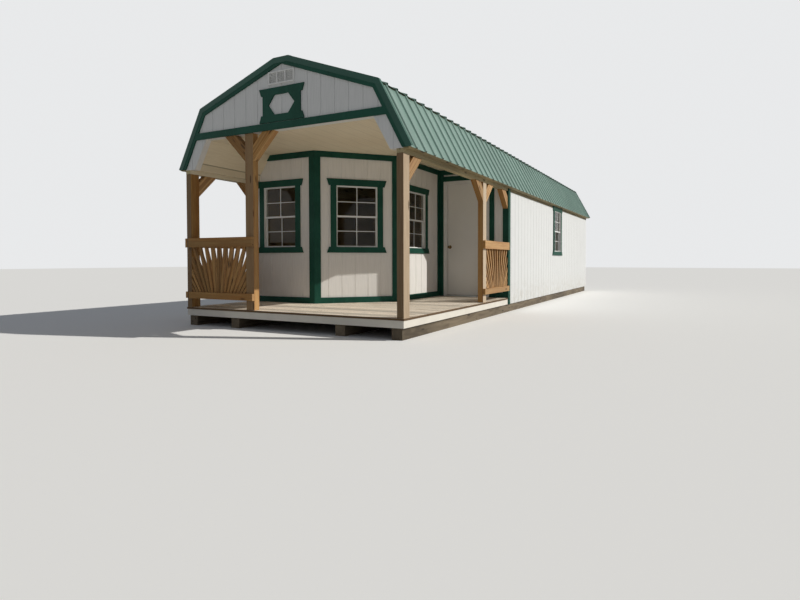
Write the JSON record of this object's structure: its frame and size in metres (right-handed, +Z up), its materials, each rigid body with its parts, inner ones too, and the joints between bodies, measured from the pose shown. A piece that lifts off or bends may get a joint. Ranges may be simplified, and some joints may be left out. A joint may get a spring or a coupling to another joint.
{
  "type": "portable barn cabin with corner porch",
  "caption": "Long gambrel-roofed cabin on timber skids, hollow, with grooved panel walls, a porch wrapped round one front corner behind a slanted bay wall, fan-pattern railings and one door",
  "frame": {"origin": "on the ground, under the middle of the roof's outline", "axes": "+Y runs along the ridge from the porch gable to the rear wall, +X to the right as seen from the porch gable, +Z up"},
  "size_m": [3.741, 11.033, 3.46],
  "materials": {
    "white_paint": "satin",
    "inner_wall": "matte",
    "cream_paint": "satin",
    "green_trim": "satin",
    "roof_metal": "satin",
    "flashing_metal": "satin",
    "pine": "matte",
    "brown_timber": "matte",
    "deck_boards": "matte",
    "white_vinyl": "satin",
    "window_glass": "clear",
    "door_paint": "satin",
    "sill_metal": "satin",
    "brass": "satin"
  },
  "bodies": {
    "cabin": {"skids": "brown_timber", "floor_joists": "brown_timber", "rim_boards": "white_paint", "porch_deck": "deck_boards", "cabin_floor": "deck_boards", "porch_posts": "pine", "knee_braces": "pine", "porch_headers": "brown_timber", "front_railing": "pine", "left_railing": "pine", "right_railing": "pine", "left_wall": "inner_wall", "right_wall": "inner_wall", "rear_wall": "inner_wall", "front_wall": "inner_wall", "bay_wall": "inner_wall", "porch_side_wall": "inner_wall", "door_wall_left": "inner_wall", "door_wall_right": "inner_wall", "door_wall_header": "inner_wall", "top_plates": "brown_timber", "side_siding": "white_paint", "rear_siding": "white_paint", "porch_siding": "white_paint", "front_gable": "inner_wall", "front_gable_siding": "white_paint", "porch_ceiling": "cream_paint", "roof_boards": "brown_timber", "lower_roof_sheets": "roof_metal", "upper_roof_sheets": "roof_metal", "roof_flashings": "flashing_metal", "rake_boards": "green_trim", "rake_flashings": "flashing_metal", "eave_boards": "brown_timber", "gable_trim": "green_trim", "gable_vent": "white_vinyl", "wall_trim": "green_trim", "window_casings": "green_trim", "window_frames": "white_vinyl", "window_glass": "window_glass", "door_casing": "green_trim", "door_frame": "white_paint", "door_sill": "sill_metal"},
    "door": {"door_leaf": "door_paint", "door_knob": "brass", "door_hinges": "brass"}
  },
  "joints": [
    {"name": "door_swing", "type": "hinge", "parent": "cabin", "child": "door", "pos_m": [1.3715, -1.7195, 1.25], "axis": [0, 0, -1], "range_deg": [0, 100]}
  ]
}
